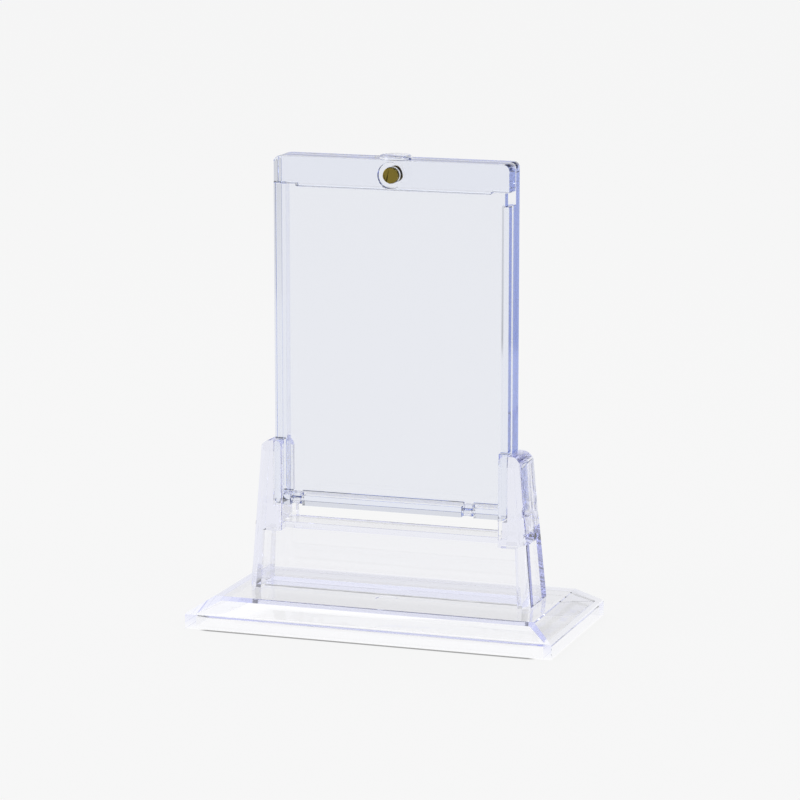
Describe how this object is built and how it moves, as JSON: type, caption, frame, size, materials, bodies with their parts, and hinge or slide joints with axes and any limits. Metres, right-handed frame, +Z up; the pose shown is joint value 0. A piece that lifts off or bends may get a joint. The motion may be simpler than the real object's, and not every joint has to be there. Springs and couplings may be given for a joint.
{
  "type": "trading card display case",
  "caption": "Clear magnetic card holder with a hinged front cover, standing in a slotted upright on a bevelled tray base.",
  "frame": {"origin": "centre of the tray's foot, on the surface it stands on", "axes": "+Z up, +X to the right as seen from the front, the front toward -Y"},
  "size_m": [0.119, 0.0586, 0.1475],
  "materials": {
    "base_tray": "polished clear plastic",
    "upright": "polished clear plastic",
    "rear_shell": "polished clear plastic",
    "front_cover": "polished clear plastic",
    "shell_magnet": "bright plated",
    "cover_magnet": "bright plated"
  },
  "bodies": {
    "stand": {"base_tray": "base_tray", "upright": "upright"},
    "holder": {"rear_shell": "rear_shell", "shell_magnet": "shell_magnet"},
    "cover": {"front_cover": "front_cover", "cover_magnet": "cover_magnet"}
  },
  "joints": [
    {"name": "holder_lift", "type": "slide", "parent": "stand", "child": "holder", "axis": [0, 0, 1], "range_m": [0, 0.03]},
    {"name": "cover_swing", "type": "hinge", "parent": "holder", "child": "cover", "pos_m": [0, -0.00385, 0.0383], "axis": [1, 0, 0], "range_deg": [0, 95]}
  ]
}
